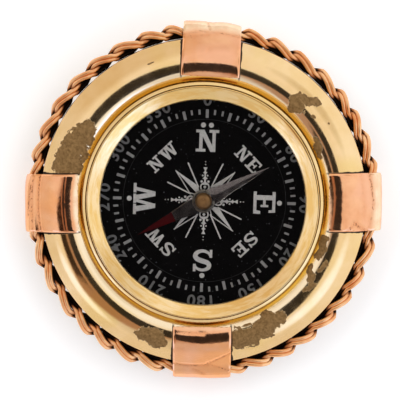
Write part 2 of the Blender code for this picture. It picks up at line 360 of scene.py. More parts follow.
ring_brass = brass_material("ring_brass", (0.93, 0.665, 0.36), (0.86, 0.575, 0.26), 0.10, stained=True)
bezel_brass = brass_material("bezel_brass", (0.95, 0.71, 0.40), (0.92, 0.66, 0.33), 0.09, streaked=True)
case_brass = brass_material("case_brass", (0.95, 0.70, 0.36), (0.86, 0.58, 0.25), 0.2,
                            groove_reflection=(0.66, 0.38, 0.06))
cap_brass = plain_material("cap_brass", (0.40, 0.22, 0.085), (0.30, 0.16, 0.065), 900.0, 0.55, 1.0)
band_copper = band_material("band_copper")
rope_copper = wire_material("rope_copper")
card_black = card_material("card_black")
letter_ink = print_material("letter_ink", (0.76, 0.74, 0.71))
tick_ink = print_material("tick_ink", (0.42, 0.41, 0.40))
numeral_ink = print_material("numeral_ink", (0.28, 0.275, 0.27))
line_ink = print_material("line_ink", (0.035, 0.035, 0.035))
clear_glass = glass_material("clear_glass")
blade_steel = needle_material("blade_steel")
green_felt = felt_material("green_felt")
plate_metal = plain_material("plate_metal", (0.62, 0.62, 0.62), (0.5, 0.5, 0.5), 500.0, 0.4, 1.0)
black_plastic = plain_material("black_plastic", (0.012, 0.012, 0.012), (0.03, 0.03, 0.03), 800.0, 0.55)
black_rubber = plain_material("black_rubber", (0.015, 0.015, 0.015), (0.028, 0.028, 0.028), 900.0, 0.8)
hub_steel = plain_material("hub_steel", (0.18, 0.162, 0.136), (0.10, 0.09, 0.076), 900.0, 0.3, 1.0)
pin_steel = plain_material("pin_steel", (0.6, 0.6, 0.6), (0.45, 0.45, 0.45), 900.0, 0.25, 1.0)
ruby = plain_material("ruby", (0.35, 0.02, 0.05), (0.2, 0.01, 0.03), 900.0, 0.1)


# -------------------- mesh helpers

def placed(name, data):
    thing = bpy.data.objects.new(name, data)
    bpy.context.scene.collection.objects.link(thing)
    return thing


def finished(name, mesh, look, body, stands_for=(), sharp=40.0):
    """Links a mesh object, shades it and says what it rides on and which CAD nodes it stands for."""
    piece = placed(name, mesh)
    mesh.materials.append(look)
    mesh.shade_smooth()
    mesh.set_sharp_from_angle(angle=radians(sharp))
    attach(piece, body)
    if stands_for:
        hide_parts(*stands_for)
    return piece


def mesh_of(name, points, faces, weld=False):
    """A mesh with its faces turned outward, from points in millimetres."""
    mesh = bpy.data.meshes.new(name)
    mesh.from_pydata([tuple(p) for p in np.asarray(points) * MM], [], [tuple(map(int, f)) for f in faces])
    shape = bmesh.new()
    shape.from_mesh(mesh)
    if weld:
        bmesh.ops.remove_doubles(shape, verts=shape.verts, dist=1e-7)
    bmesh.ops.recalc_face_normals(shape, faces=shape.faces)
    shape.to_mesh(mesh)
    shape.free()
    return mesh


def grid_faces(rows, columns, wrap_rows=False, wrap_columns=False, first=0):
    """Quads of a grid of points numbered row by row."""
    faces = []
    for i in range(rows if wrap_rows else rows - 1):
        for j in range(columns if wrap_columns else columns - 1):
            a, b = i * columns + j, i * columns + (j + 1) % columns
            c, d = (i + 1) % rows * columns + (j + 1) % columns, (i + 1) % rows * columns + j
            faces.append((first + a, first + b, first + c, first + d))
    return faces


def store(mesh, name, values):
    layer = mesh.attributes.new(name, "FLOAT", "POINT")
    layer.data.foreach_set("value", np.asarray(values, np.float32))


def full_turn(steps):
    return np.linspace(0, 2 * pi, steps, endpoint=False)


def unit(rows):
    return rows / np.linalg.norm(rows, axis=1)[:, None]


def coordinates(mesh):
    flat = np.zeros(len(mesh.vertices) * 3, np.float32)
    mesh.vertices.foreach_get("co", flat)
    return flat.reshape(-1, 3).astype(float) / MM


def arc(centre, radius, start, end, steps):
    turns = np.radians(np.linspace(start, end, steps + 1))
    return [(centre[0] + radius * np.cos(t), centre[1] + radius * np.sin(t)) for t in turns]


def lathe_mesh(name, profile, steps=240, closed=True):
    """A turned mesh. An open profile begins and ends on the axis."""
    profile = np.array(profile, float)
    turns = full_turn(steps)
    points = np.zeros((len(profile), steps, 3))
    points[:, :, 0] = profile[:, :1] * np.sin(turns)
    points[:, :, 1] = profile[:, :1] * np.cos(turns)
    points[:, :, 2] = profile[:, 1:]
    faces = grid_faces(len(profile), steps, wrap_rows=closed, wrap_columns=True)
    points = points.reshape(-1, 3)
    if not closed:
        centre = len(points)
        last = (len(profile) - 1) * steps
        ends = [(0, 0, profile[0, 1]), (0, 0, profile[-1, 1])]
        points = np.vstack([points, ends])
        for k in range(steps):
            after = (k + 1) % steps
            faces.append((centre, after, k))
            faces.append((centre + 1, last + k, last + after))
    return mesh_of(name, points, faces, weld=True)


def smooth_line(line, steps=4):
    """A Catmull-Rom curve through the points."""
    line = np.array(line, float)
    padded = np.vstack([2 * line[0] - line[1], line, 2 * line[-1] - line[-2]])
    made = []
    for k in range(1, len(padded) - 2):
        p0, p1, p2, p3 = padded[k - 1:k + 3]
        for t in np.linspace(0, 1, steps, endpoint=False):
            made.append(0.5 * (2 * p1 + (p2 - p0) * t + (2 * p0 - 5 * p1 + 4 * p2 - p3) * t ** 2
                               + (3 * p1 - p0 - 3 * p2 + p3) * t ** 3))
    made.append(line[-1])
    return np.array(made)


def upright_turn(degrees):
    """The matrix that turns points about +Z."""
    turn = radians(degrees)
    return np.array([[cos(turn), -sin(turn), 0], [sin(turn), cos(turn), 0], [0, 0, 1]])


def polar(bearing, radius, height=0.0):
    turn = radians(bearing)
    return (radius * sin(turn), radius * cos(turn), height)


# -------------------- ring

# Tarnish patches: bearing, radius, half length along the ring, half width across it, strength.
STAINS = (
    (41.8, 29.9, 2.2, 1.7, 1.05), (41.5, 31.5, 1.5, 1.2, 1.05), (44.5, 32.3, 1.2, 1.3, 1.0),
    (46.5, 33.4, 1.4, 0.9, 1.0), (41.6, 28.2, 0.9, 0.8, 0.95),
    (59.7, 28.4, 1.1, 0.6, 1.0), (62.8, 28.1, 1.4, 0.9, 1.0), (66.0, 27.7, 1.0, 0.5, 1.0),
    (55.9, 32.7, 0.32, 0.28, 0.9), (50.2, 30.8, 0.6, 0.4, 0.9),
    (106.4, 28.0, 1.5, 0.8, 1.0), (111.6, 28.3, 1.6, 0.8, 1.0), (116.2, 30.2, 1.6, 0.5, 0.9),
    (119.7, 27.8, 1.2, 0.5, 1.0), (123.2, 29.2, 1.2, 0.9, 1.0), (126.6, 30.2, 1.3, 0.6, 1.0),
    (115.2, 30.7, 0.5, 0.5, 0.95), (118.8, 29.8, 0.6, 0.4, 0.95), (121.4, 28.5, 0.5, 0.6, 0.95),
    (124.9, 30.7, 0.5, 0.6, 0.95), (129.1, 29.7, 0.7, 0.4, 0.95), (109.6, 29.1, 0.6, 0.4, 0.95),
    (113.8, 27.7, 0.6, 0.5, 0.95), (104.6, 28.8, 0.5, 0.5, 0.95),
    (144.7, 30.9, 1.4, 1.6, 1.05), (148.7, 30.2, 1.6, 2.2, 1.05), (153.2, 31.2, 2.2, 2.4, 1.1),
    (158.7, 31.9, 2.2, 2.1, 1.1), (163.7, 31.4, 1.9, 2.5, 1.1), (149.7, 28.3, 1.0, 0.6, 0.95),
    (158.7, 29.0, 1.2, 0.35, 0.9),
    (197.7, 32.1, 2.0, 2.0, 1.1), (201.7, 32.2, 1.8, 1.7, 1.05), (204.5, 32.7, 0.9, 0.7, 1.0),
    (193.8, 32.6, 0.8, 1.0, 1.0),
    (282.2, 32.0, 1.8, 2.6, 1.1), (286.7, 31.4, 2.6, 3.0, 1.15), (292.2, 30.9, 2.6, 2.9, 1.1),
    (297.7, 30.6, 2.2, 2.4, 1.1), (301.5, 30.4, 1.3, 1.7, 1.05), (282.7, 28.9, 1.4, 1.2, 1.0),
    (289.2, 28.2, 1.8, 0.7, 0.95), (296.2, 28.3, 1.2, 0.6, 0.95),
    (337.2, 32.8, 0.9, 0.2, 0.95),
)


def stain_field(points):
    """How strongly each point of the ring is tarnished, before the shader breaks up its edge."""
    bearing = np.degrees(np.arctan2(points[:, 0], points[:, 1]))
    reach = np.hypot(points[:, 0], points[:, 1])
    field = np.zeros(len(points))
    for middle, radius, along, across, strength in STAINS:
        turn = (bearing - middle + 180) % 360 - 180
        distance = np.hypot(np.radians(turn) * radius / along, (reach - radius) / across)
        field = np.maximum(field, strength * np.clip(1.25 - 0.75 * distance, 0, 1))
    return np.where(points[:, 2] > RING_HEIGHT, field, 0.0)


def ring_section(inset, start, end, steps):
    """An arc of the ring's section, in degrees from its outer side: oval, with a straight outer flank."""
    line = []
    for turn in np.radians(np.linspace(start, end, steps + 1)):
        reach = RING_REACH_OUT if cos(turn) > 0 else RING_REACH_IN
        out, rise = (reach - inset) * cos(turn), (RING_RISE - inset) * sin(turn)
        if out > FLANK_START:
            # The flank falls straight from here, then turns down to the seam.
            share = (out - FLANK_START) / (reach - inset - FLANK_START)
            top = (RING_RISE - inset) * sqrt(1 - (FLANK_START / (reach - inset)) ** 2)
            fall = FLANK_SLOPE * (reach - inset - FLANK_START)
            height = top - fall * share if share < 0.85 else (top - fall * 0.85) * sqrt(
                max(0.0, 1 - ((share - 0.85) / 0.15) ** 2.2))
            rise = height if rise > 0 else -height
        line.append((CREST_RADIUS + out, RING_HEIGHT + rise))
    return line


def ring_half(name, side, node):
    """One half of the hollow ring, with its wall's edge at the seam."""
    outside = ring_section(0.0, 178.4 * side, 1.6 * side, 90)
    inside = ring_section(RING_SHEET, 2.0 * side, 178.0 * side, 20)
    mesh = lathe_mesh(name, outside + inside, 360)
    store(mesh, "stain", stain_field(coordinates(mesh)))
    finished(name, mesh, ring_brass, "case", (node,))


ring_half("ring_upper", 1, "ring_upper_shell")
ring_half("ring_lower", -1, "ring_lower_shell")


# -------------------- rope

def valley(distance, width):
    """A smooth bump: 1 in the middle, 0 beyond about twice its half width."""
    return np.exp(-(distance / width) ** 2)


def under_band(bearing):
    """1 where a band presses on the rope, falling to 0 beside it."""
    press = np.zeros_like(bearing)
    for middle in BAND_TURNS.values():
        turn = np.abs((bearing - middle + 180) % 360 - 180)
        press = np.maximum(press, np.clip((13.0 - turn) / 3.5, 0, 1))
    return press


def rope_wire(name, half_turn, side, node):
    """One wire of a strand as a fine tube, with a measure of how far it stands out of the twist.

    A strand is two wires side by side. Two strands pass over and under each other all the way round.
    """
    count, sides = ROPE_TURNS * 28, 14
    gap = 0.15 / ROPE_RADIUS
    around = np.linspace(gap, 2 * pi - gap, count + 1)
    # The hand-laid twist is a little uneven along the rope.
    uneven = 0.22 * np.sin(5 * around + 0.7) + 0.14 * np.sin(11 * around + 2.1)
    twist = ROPE_TURNS * around + half_turn + radians(ROPE_PHASE) + uneven
    pair = side * PAIR_OFFSET * (1 + 0.06 * np.sin(7 * around + side))
    lean = 0.42 * np.cos(twist)
    # The strand that passes beneath is tucked in against the ring, least of all in the north-west.
    degree = np.degrees(around)
    tuck = 1.4 - 0.8 * valley(degree - 312.0, 30.0) - 0.5 * valley(degree - 66.0, 10.0)
    tuck -= 0.4 * valley(degree - 228.0, 12.0)
    inward = np.clip(np.clip(-np.cos(twist), 0, 1) - np.sin(twist), 0, 1)
    # It bulges a little further from the ring to the west.
    middle = ROPE_RADIUS + 0.28 * valley(degree - 226.0, 28.0) + 0.22 * valley(degree - 318.0, 28.0)
    middle -= 0.30 * under_band(degree)
    strand = STRAND_OFFSET * np.cos(twist) - tuck * inward
    innermost = CREST_RADIUS + RING_REACH_OUT + 0.02 + WIRE_RADIUS + PAIR_OFFSET - middle
    aside = np.maximum(strand, innermost) + pair * np.cos(lean)
    rise = STRAND_RISE * np.sin(twist) - pair * np.sin(lean)
    reach = middle + aside
    line = np.stack([reach * np.sin(around), reach * np.cos(around), RING_HEIGHT + rise], axis=1)
    along = unit(np.gradient(line, axis=0))
    outward = np.stack([np.sin(around), np.cos(around), np.zeros_like(around)], axis=1)
    outward = unit(outward - (outward * along).sum(1)[:, None] * along)
    upward = np.cross(along, outward)
    turns = full_turn(sides)
    across, above = np.cos(turns)[None, :, None], np.sin(turns)[None, :, None]
    points = line[:, None, :] + WIRE_RADIUS * (across * outward[:, None, :] + above * upward[:, None, :])
    out = np.hypot(points[..., 0], points[..., 1]) - middle[:, None]
    up = points[..., 2] - RING_HEIGHT
    stand = np.hypot(np.maximum(out, 0) / 1.62, np.maximum(up + 0.16, 0) / 1.1)
    # Painted shade: the inner side and the underside are darkened further.
    stand -= 0.20 * np.clip(-out - 0.75, 0, 1) + 0.30 * np.clip(-0.1 - up, 0, 1)
    faces = grid_faces(count + 1, sides, wrap_columns=True)
    faces += [tuple(range(sides)), tuple(count * sides + k for k in range(sides))]
    mesh = mesh_of(name, points.reshape(-1, 3), faces)
    store(mesh, "rubbed_and_shaded", stand.reshape(-1))
    finished(name, mesh, rope_copper, "case", (node,))


for strand, half_turn in (("a", 0.0), ("b", pi)):
    for number, side in ((1, -1), (2, 1)):
        rope_wire(f"rope_{strand}{number}", half_turn, side, f"rope_wire_{strand}{number}")


# -------------------- bands

def band_section():
    """The line of the band's outer face: over the ring, down over the rope, and back beneath."""
    top = arc((CREST_RADIUS + 0.1, RING_HEIGHT), BAND_LIFT, 113.5, 50, 34)
    shoulder = smooth_line([top[-1], (35.2, 11.16), (36.0, 10.49), (36.8, 9.88), (37.4, 9.53), (38.0, 9.27),
                            (38.6, 8.93), (39.15, 8.42), (39.6, 7.78), (39.86, 7.0)], 5)
    upper = np.vstack([top[:-1], shoulder])
    lower = upper[-2::-1] * [1, -1] + [0, 2 * RING_HEIGHT]
    return np.vstack([upper, lower])


def fold(r, x, start, end, width):
    """A dip along a straight fold between two (radius, across) points, as deep as 1 on the fold."""
    start, end = np.array(start, float), np.array(end, float)
    way = end - start
    share = np.clip(((r - start[0]) * way[0] + (x - start[1]) * way[1]) / (way @ way), 0, 1)
    return valley(np.hypot(r - start[0] - share * way[0], x - start[1] - share * way[1]), width)


# Folds pressed into each band: start and end as (radius, distance across), half width, depth.
FOLDS = {
    "north": (
        ((37.3, -6.6), (37.7, -1.5), 0.45, 0.065), ((37.7, -1.5), (37.2, 6.6), 0.35, 0.065),
        ((40.0, -1.2), (38.2, -0.6), 0.35, 0.065), ((36.6, -6.6), (36.9, -1.0), 0.5, 0.05),
        ((34.6, 3.4), (33.9, -0.5), 0.7, 0.03),
    ),
    "east": (
        ((37.3, -6.6), (37.8, 0.5), 0.4, 0.08), ((37.8, 0.5), (37.2, 6.6), 0.4, 0.06),
        ((36.6, 6.6), (33.9, 4.6), 0.6, 0.08), ((33.9, 4.6), (32.6, 6.6), 0.6, 0.07),
        ((35.4, -6.6), (35.8, 3.0), 0.6, 0.04), ((30.9, -1.0), (30.9, 2.0), 0.8, 0.02),
    ),
    "south": (
        ((36.6, -1.3), (36.9, 6.6), 0.4, 0.08), ((36.2, -1.3), (34.1, -6.6), 0.28, 0.08),
        ((36.2, -1.3), (38.4, -6.6), 0.35, 0.06), ((37.6, 1.9), (38.6, -0.5), 0.4, 0.065),
        ((30.45, -6.0), (30.4, 4.6), 0.16, 0.03), ((28.6, 1.4), (29.5, -0.6), 0.5, 0.03),
        ((28.9, -0.6), (29.6, 6.4), 0.5, 0.05),
    ),
    "west": (
        ((36.8, -6.6), (36.7, 6.6), 0.40, 0.08), ((38.4, -6.6), (38.1, 6.6), 0.35, 0.08),
        ((30.95, -6.2), (30.85, 0.2), 0.22, 0.03), ((30.85, 0.2), (31.0, 6.2), 0.22, 0.03),
        ((30.3, 0.2), (28.6, 0.4), 0.35, 0.03), ((39.2, -3.0), (38.6, 4.0), 0.4, 0.08),
    ),
}
# How strongly each band's inner and outer end are painted with a pale highlight.
END_HIGHLIGHT = {"north": (0.0, 0.85), "east": (0.45, 0.80), "south": (0.30, 0.0), "west": (1.0, 0.15)}
# How far each band's outer edge swells or sinks across its width.
EDGES = {
    "north": (0.10, 0.14, 0.15, 0.10, -0.08, 0.08, 0.04, -0.20, -0.50),
    "east": (-0.10, 0.0, 0.02, 0.06, 0.05, 0.04, 0.02, -0.02, -0.05),
    "south": (0.0, 0.04, 0.08, 0.10, 0.02, -0.06, -0.02, -0.02, -0.04),
    "west": (0.10, 0.12, 0.10, 0.02, 0.02, 0.04, 0.02, -0.1, -0.40),
}


def band_piece(side, bearing):
    """A copper strip with parallel sides, its folds pressed in along the sheet's normal."""
    columns = 87
    section = band_section()
    rows = len(section)
    tangent = unit(np.gradient(section, axis=0))
    normal = np.stack([-tangent[:, 1], tangent[:, 0]], axis=1)
    xs = np.linspace(-BAND_WIDTH / 2, BAND_WIDTH / 2, columns)
    r, x = np.meshgrid(section[:, 0], xs, indexing="ij")
    above = np.clip((section[:, 1:] - RING_HEIGHT + 1.0) / 2.0, 0, 1)
    press, crease = np.zeros_like(r), np.zeros_like(r)
    for start, end, width, depth in FOLDS[side]:
        dip = fold(r, x, start, end, width)
        press -= dip * depth * above
        crease = np.maximum(crease, dip * min(1.0, depth / 0.09) * above)
    # Painted highlight at each band's inner and outer end.
    inner_highlight, outer_highlight = END_HIGHLIGHT[side]
    worn = inner_highlight * np.clip((29.1 - r) / 0.6, 0, 1) + outer_highlight * np.clip((r - 37.1) / 1.5, 0, 1)
    # A more orange line along both cut ends; at the inner end it is a painted reflection of the bezel wall.
    crease = np.maximum(crease, 0.8 * above * np.clip((r - 39.4) / 0.4, 0, 1))
    crease = np.maximum(crease, 0.7 * np.clip((28.05 - r) / 0.2, 0, 1))
    press += 0.010 * np.sin(0.6 * x + 0.9 * r + bearing) + 0.0015 * np.sin(3.1 * x - 1.9 * r)
    # Both long edges are rolled down to the ring.
    edge = np.clip((np.abs(xs) - (BAND_WIDTH / 2 - 0.55)) / 0.55, 0, 1)
    press -= BAND_ROLL * edge ** 2
    swell = np.interp(xs, np.linspace(-6.6, 6.6, 9), EDGES[side])
    press += swell * np.clip((r - 37.3) / 2.5, 0, 1)
    layers = []
    for inset in (0.0, BAND_SHEET):
        spot = section[:, None, :] + (press - inset)[..., None] * normal[:, None, :]
        layer = np.zeros((rows, columns, 3))
        layer[..., 0] = xs
        # The inner end follows the ring; the outer end is cut nearly straight.
        bowed = np.sqrt(spot[..., 0] ** 2 - xs ** 2)
        straight = 0.75 * np.clip((spot[..., 0] - 36.5) / 3.0, 0, 1)
        layer[..., 1] = np.maximum(bowed + straight * (spot[..., 0] - bowed), BAND_INNER_END)
        layer[..., 2] = spot[..., 1]
        layers.append(layer)
    points = np.vstack([layer.reshape(-1, 3) for layer in layers])
    size = rows * columns
    faces = grid_faces(rows, columns) + [f[::-1] for f in grid_faces(rows, columns, first=size)]
    rim = [i * columns for i in range(rows)]
    rim += [(rows - 1) * columns + j for j in range(1, columns)]
    rim += [i * columns + columns - 1 for i in range(rows - 2, -1, -1)]
    rim += [j for j in range(columns - 2, 0, -1)]
    for k, a in enumerate(rim):
        b = rim[(k + 1) % len(rim)]
        faces.append((a, b, b + size, a + size))
    mesh = mesh_of(f"band_{side}_sheet", points @ upright_turn(-bearing).T, faces)
    store(mesh, "crease", np.concatenate([crease.reshape(-1)] * 2))
    store(mesh, "worn", np.concatenate([worn.reshape(-1)] * 2))
    piece = finished(f"band_{side}_sheet", mesh, band_copper, "case", (f"band_{side}",))
    rounded = piece.modifiers.new("rounded", "BEVEL")
    rounded.width = 0.1 * MM
    rounded.segments = 2
    rounded.limit_method = "ANGLE"
    rounded.angle_limit = radians(50)


for side, bearing in BAND_TURNS.items():
    band_piece(side, bearing)


# -------------------- case, bezel, base

def turned(name, profile, look, body, node, steps=240, closed=False, settled=False):
    """A turned piece. The cup and its bezel sit a hair off the ring's centre, to the south-west."""
    mesh = lathe_mesh(name, profile, steps, closed)
    if settled:
        mesh.transform(Matrix.Translation((CUP_EAST * MM, CUP_NORTH * MM, 0)))
    finished(name, mesh, look, body, (node,) if node else ())


case_profile = [(22.5, 3.1), (22.5, 6.1), (24.05, 6.1), (24.05, 12.1), (26.0, 12.1), (26.01, 12.95)]
case_profile += [(26.05, 13.0), (26.13, 12.98), (26.64, 12.68), (26.72, 12.6), (26.76, 12.4)]
case_profile += [(26.76, 11.35), (24.85, 11.35), (24.85, 6.0), (23.3, 5.3), (23.3, 2.7)]
case_profile += [(22.9, 2.3)]
turned("case", case_profile, case_brass, "case", "case_cup", 360, settled=True)

# The bezel is a shallow cone that falls towards the glass.
bezel_profile = [(22.76, 12.15), (22.74, 12.2), (22.76, 12.26), (22.97, 12.55)]
for radius in np.linspace(22.98, 25.42, 14):
    outward = radius - 22.96
    bezel_profile.append((radius, 12.55 + 0.59 * outward - 0.012 * outward ** 2))
bezel_profile += [(25.52, 13.965), (25.62, 13.975), (25.71, 13.93), (25.79, 13.82)]
bezel_profile += [(25.81, 13.6), (25.81, 12.15)]
turned("bezel", bezel_profile, bezel_brass, "case", "bezel_ring", 360, True, settled=True)

base_profile = [(25.2, 2.0), (26.2, 2.7)] + arc((26.7, 2.45), 0.25, 90, -20, 6)
base_profile += [(26.6, 1.5), (25.8, 1.1)]
turned("base", base_profile, case_brass, "case", "base_plate")

foot_profile = [(25.2, 0.9), (25.35, 0.8), (25.4, 0.6), (25.4, 0.05), (25.35, 0.0)]
turned("foot", foot_profile, green_felt, "case", "base_felt")

glass_profile = [(23.6, 12.1), (23.75, 11.95), (23.75, 11.25), (23.6, 11.1)]
turned("window", glass_profile, clear_glass, "case", "glass")

card_profile = [(0.6, 7.3), (0.6, CARD_TOP), (23.6, CARD_TOP), (23.6, 7.3)]
turned("card", card_profile, card_black, "case", "dial_card", closed=True)

for node, look in (("glass_gasket", black_rubber), ("dial_spacer_ring", black_plastic),
                   ("dial_plate", plate_metal), ("pivot_boss", cap_brass), ("pivot_pin", pin_steel),
                   ("needle_jewel", ruby)):
    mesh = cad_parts[node].data
    mesh.materials.clear()
    mesh.materials.append(look)


# -------------------- dial print

def circle_points(centre, radius, sides):
    return [(centre[0] + radius * cos(t), centre[1] + radius * sin(t)) for t in full_turn(sides)]


class Print:
    """Flat printed shapes gathered into one thin mesh, each a hair above the one before."""

    def __init__(self):
        self.points = []
        self.faces = []
        self.layer = 0

    def add(self, outline):
        """A closed outline of (x, y) points, in millimetres on the dial."""
        height = PRINT_TOP + 0.0004 * (self.layer % 12)
        self.layer += 1
        first = len(self.points)
        self.points += [(x, y, height) for x, y in outline]
        self.faces.append(tuple(range(first, len(self.points))))

    def ribbon(self, line, width, closed=False):
        """A stroke of even width, or of one width per point, along a line of points."""
        line = np.array(line, float)
        widths = np.broadcast_to(np.asarray(width, float), (len(line),))
        if closed:
            ahead, behind = np.roll(line, -1, 0), np.roll(line, 1, 0)
        else:
            ahead, behind = np.vstack([line[1:], line[-1:]]), np.vstack([line[:1], line[:-1]])
        along = unit(ahead - behind)
        aside = np.stack([-along[:, 1], along[:, 0]], 1) * widths[:, None] / 2
        height = PRINT_TOP + 0.0004 * (self.layer % 12)
        self.layer += 1
        first = len(self.points)
        for left, right in zip(line + aside, line - aside):
            self.points += [(*left, height), (*right, height)]
        count = len(line)
        for k in range(count if closed else count - 1):
            a, b = first + 2 * k, first + 2 * ((k + 1) % count)
            self.faces.append((a, a + 1, b + 1, b))

    def disc(self, centre, radius, sides=28):
        self.add(circle_points(centre, radius, sides))

    def hoop(self, centre, radius, width, sides):
        self.ribbon(circle_points(centre, radius, sides), width, closed=True)

    def finish(self, name, look):
        mesh = bpy.data.meshes.new(name)
        spots = [((x + PRINT_SHIFT) * MM, y * MM, z * MM) for x, y, z in self.points]
        mesh.from_pydata(spots, [], self.faces)
        shape = bmesh.new()
        shape.from_mesh(mesh)
        written_upward(mesh, shape)
        finished(name, mesh, look, "case")


def written_upward(mesh, shape):
    """Writes a flat shape to the mesh with every face turned up."""
    for face in shape.faces:
        face.normal_update()
        if face.normal.z < 0:
            face.normal_flip()
    shape.to_mesh(mesh)
    shape.free()


def seat(points, bearing, radius, size):
    """Moves letter-space points (height 1, centred) to the dial, tops outward."""
    turn = radians(bearing)
    placed = []
    for x, y in points:
        u, v = x * size, radius + (y - 0.5) * size
        placed.append((u * cos(turn) + v * sin(turn), -u * sin(turn) + v * cos(turn)))
    return placed


def bar(x0, y0, x1, y1):
    return [(x0, y0), (x1, y0), (x1, y1), (x0, y1)]


# Letters as bars and outlines about x = 0, one unit high. S also has the two serifs of its stroke.
LETTERS = {
    "N": {"width": 1.04, "shapes": [
        bar(-0.37, 0.0, -0.22, 1.0), bar(0.22, 0.0, 0.37, 1.0),
        [(-0.39, 1.0), (-0.15, 1.0), (0.37, 0.0), (0.15, 0.0)],
        bar(-0.52, 0.87, -0.15, 1.0), bar(-0.52, 0.0, -0.08, 0.13), bar(0.08, 0.87, 0.52, 1.0),
    ]},
    "E": {"width": 1.0, "shapes": [
        bar(-0.34, 0.0, -0.12, 1.0), bar(-0.50, 0.0, 0.44, 0.14), bar(-0.50, 0.86, 0.42, 1.0),
        bar(-0.2, 0.44, 0.16, 0.56), bar(0.10, 0.33, 0.20, 0.68),
        [(0.34, 0.0), (0.50, 0.0), (0.52, 0.32), (0.38, 0.32)],
        [(0.32, 1.0), (0.44, 1.0), (0.46, 0.70), (0.34, 0.70)],
    ]},
    "W": {"width": 1.42, "shapes": [
        [(-0.62, 1.0), (-0.36, 1.0), (-0.20, 0.0), (-0.40, 0.0)],
        [(-0.12, 1.0), (0.02, 1.0), (-0.22, 0.0), (-0.36, 0.0)],
        [(-0.10, 1.0), (0.14, 1.0), (0.34, 0.0), (0.14, 0.0)],
        [(0.40, 1.0), (0.56, 1.0), (0.34, 0.0), (0.20, 0.0)],
        bar(-0.71, 0.87, -0.24, 1.0), bar(-0.20, 0.87, 0.22, 1.0), bar(0.28, 0.87, 0.71, 1.0),
    ]},
    "S": {"width": 0.92, "shapes": [bar(0.30, 0.66, 0.42, 1.0), bar(-0.44, 0.0, -0.32, 0.36)]},
}
# The stroke of the S as points on its middle line, and the stroke's width at each.
S_LINE = [(0.36, 0.70), (0.27, 0.84), (0.10, 0.92), (-0.10, 0.92), (-0.27, 0.83), (-0.31, 0.70),
          (-0.22, 0.59), (0.0, 0.52), (0.22, 0.44), (0.33, 0.31), (0.27, 0.16), (0.10, 0.07),
          (-0.10, 0.07), (-0.28, 0.16), (-0.37, 0.30)]
S_WIDTHS = [0.10, 0.11, 0.13, 0.14, 0.18, 0.20, 0.21, 0.22, 0.22, 0.21, 0.19, 0.15, 0.14, 0.12, 0.11]


def print_letter(ink, letter, bearing, radius, size, shift=0.0):
    """One slab-serif letter, shifted along its own baseline."""
    def moved(points):
        return seat([(x + shift, y) for x, y in points], bearing, radius, size)
    for outline in LETTERS[letter]["shapes"]:
        ink.add(moved(outline))
    if letter == "S":
        path = smooth_line([(*p, w) for p, w in zip(S_LINE, S_WIDTHS)])
        ink.ribbon(moved(path[:, :2]), path[:, 2] * size)


letters = Print()
for bearing, letter, shift in ((0, "N", 0.05), (90, "E", 0.0), (180, "S", 0.0), (270, "W", 0.0)):
    print_letter(letters, letter, bearing, LETTER_RADIUS, 4.9, shift)
for bearing, pair in ((45, "NE"), (135, "SE"), (225, "SW"), (315, "NW")):
    widths = [LETTERS[letter]["width"] for letter in pair]
    start = -(sum(widths) + LETTER_GAP) / 2
    for letter, width in zip(pair, widths):
        print_letter(letters, letter, bearing, LETTER_RADIUS, 2.95, start + width / 2)
        start += width + LETTER_GAP
for bearing in (90, 180, 270):
    letters.disc(polar(bearing, 16.75), 0.56)
for aside in (-0.76, 1.02):
    letters.disc((aside, 16.88), 0.56)
letters.finish("dial_letters", letter_ink)

rose = Print()
for k in range(4):
    for aside in (-25.0, 25.0):
        bearing = 90 * k + aside
        rose.ribbon([polar(bearing, 3.3)[:2], polar(bearing, 9.15)[:2]], 0.30)
        rose.disc(polar(bearing, 9.15), 0.15, 12)
for bearing, side in ((45, -1), (135, -1), (225, 1), (315, 1)):
    tip, root = polar(bearing, 9.35)[:2], polar(bearing, 1.5)[:2]
    rose.add([tip, polar(bearing + 21 * side, 3.6)[:2], root])
    rose.ribbon([tip, polar(bearing - 18 * side, 3.8)[:2], root], 0.22)
    rose.ribbon([tip, root], 0.14)
# Half widths of the ornament along each cardinal arm: distance from the middle, half width.
ORNAMENT = ((3.55, 0.95), (3.75, 0.62), (3.95, 0.26), (4.55, 0.19), (4.82, 0.28), (5.02, 0.60),
            (5.22, 0.27), (5.45, 0.15), (5.92, 0.16), (6.14, 0.25), (6.30, 0.50), (6.46, 0.23),
            (6.66, 0.13), (6.86, 0.15), (7.34, 0.42), (7.46, 0.40))
for k in range(4):
    bearing = 90 * k
    ahead, aside = Vector(polar(bearing, 1.0)), Vector(polar(bearing + 90, 1.0))
    edge = [(a, b) for a, b in ORNAMENT] + [(a, -b) for a, b in reversed(ORNAMENT)]
    rose.add([(ahead * a + aside * b)[:2] for a, b in edge])
    for distance, across, size in ((4.29, 0.76, 0.27), (5.63, 0.54, 0.19)):
        for hand in (-1, 1):
            rose.disc(ahead * distance + aside * across * hand, size, 14)
    rose.hoop(ahead * 3.07, 0.92, 0.32, 30)
    rose.disc(ahead * 3.07, 0.32, 16)
    for distance, size in ((8.08, 0.14), (8.72, 0.13)):
        rose.disc(ahead * distance, size, 10)
rose.finish("dial_rose", letter_ink)

ticks = Print()
for k in range(72):
    bearing = 5 * k
    if k % 3 == 0:
        ticks.ribbon([polar(bearing, 18.5)[:2], polar(bearing, 20.4)[:2]], 0.64)
    else:
        ticks.ribbon([polar(bearing, 19.25)[:2], polar(bearing, 20.35)[:2]], 0.45)
ticks.finish("dial_ticks", tick_ink)

circle = Print()
circle.hoop((0, 0), CIRCLE_RADIUS, 0.13, 240)
circle.finish("dial_circle", line_ink)


